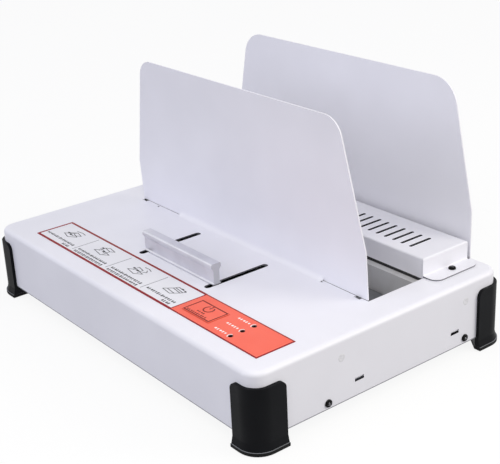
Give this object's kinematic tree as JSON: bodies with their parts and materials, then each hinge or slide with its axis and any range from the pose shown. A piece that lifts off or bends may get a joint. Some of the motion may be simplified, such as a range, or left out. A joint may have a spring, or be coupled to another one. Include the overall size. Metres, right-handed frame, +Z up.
{
  "type": "desktop hot-melt binding machine",
  "caption": "Low white desktop machine for glue binding: a heated trough between two upright tapered plates, a sliding clamp handle, a control panel and black corner feet.",
  "frame": {"origin": "middle of the footprint on the ground, under the soles of the feet", "axes": "+X to the right of the person at the machine, along its length; +Y away from them; +Z up"},
  "size_m": [0.4056, 0.2796, 0.2215],
  "materials": {
    "white_casing": "smooth cool white powder coat, satin",
    "zinc_steel": "zinc plated sheet, dull",
    "black_phosphate": "phosphated sheet, dull black",
    "black_moulding": "fine moulded grain, low sheen",
    "black_rubber": "matt",
    "black_screw": "black oxide",
    "panel_film": "printed film, satin",
    "key_orange": "embossed printed film, satin",
    "black_component": "moulded",
    "lamp_lens": "tinted diffuse lens",
    "board_green": "solder mask",
    "white_acetal": "machined",
    "bright_steel": "ground",
    "silver_extrusion": "extruded, satin silver anodised",
    "plain_aluminium": "mill finish",
    "heating_aluminium": "anodised, satin",
    "heater_mica": "mica strip",
    "insulation_board": "fibre board",
    "white_ceramic": "unglazed",
    "liner_steel": "grey white coat, satin",
    "core_iron": "varnished laminations",
    "terminal_green": "moulded",
    "ribbon_grey": "flat cable",
    "inlet_black": "moulded"
  },
  "bodies": {
    "case": {"top_shell": "white_casing", "base_plate": "zinc_steel", "foot_front_left": "black_moulding", "foot_front_right": "black_moulding", "foot_rear_left": "black_moulding", "foot_rear_right": "black_moulding", "foot_soles": "black_rubber", "rear_cover": "white_casing", "rear_plate": "white_casing", "control_overlay": "panel_film", "key_switch": "black_component", "lamp_front": "lamp_lens", "lamp_middle": "lamp_lens", "lamp_rear": "lamp_lens", "control_board": "board_green", "board_posts": "bright_steel", "buzzer": "black_component", "controller": "black_component", "ribbon_headers": "black_component", "guide_rods": "bright_steel", "rod_bracket_front": "zinc_steel", "rod_bracket_rear": "zinc_steel", "heating_plate": "heating_aluminium", "heater_element": "heater_mica", "heater_clamp": "zinc_steel", "heater_insulation": "insulation_board", "heater_spacers": "white_ceramic", "thermostat": "black_component", "temperature_sensor": "bright_steel", "trough_bracket_left": "zinc_steel", "trough_bracket_right": "zinc_steel", "trough_liner": "liner_steel", "power_board": "board_green", "power_posts": "bright_steel", "transformer": "core_iron", "relay": "black_component", "terminal_block": "terminal_green", "capacitor": "black_component", "panel_ribbon": "ribbon_grey", "power_inlet": "inlet_black", "switch_housing": "inlet_black"},
    "clamp": {"handle": "silver_extrusion", "handle_studs": "bright_steel", "clamp_slide": "black_phosphate", "slide_bushes": "white_acetal", "clamp_jaw": "plain_aluminium"},
    "key": {"start_key": "key_orange", "key_plunger": "black_component"},
    "rocker": {"switch_rocker": "inlet_black"}
  },
  "joints": [
    {"name": "clamp_slide", "type": "slide", "parent": "case", "child": "clamp", "axis": [0, 1, 0], "range_m": [-0.0055, 0.052]},
    {"name": "key_press", "type": "slide", "parent": "case", "child": "key", "axis": [0, 0, -1], "range_m": [0, 0.0004], "stiffness_N_per_m": 3000, "springref_m": -0.0003},
    {"name": "rocker_tilt", "type": "hinge", "parent": "case", "child": "rocker", "pos_m": [0.1, 0.131, 0.024], "axis": [0, 0, 1], "range_deg": [0, 14]}
  ]
}
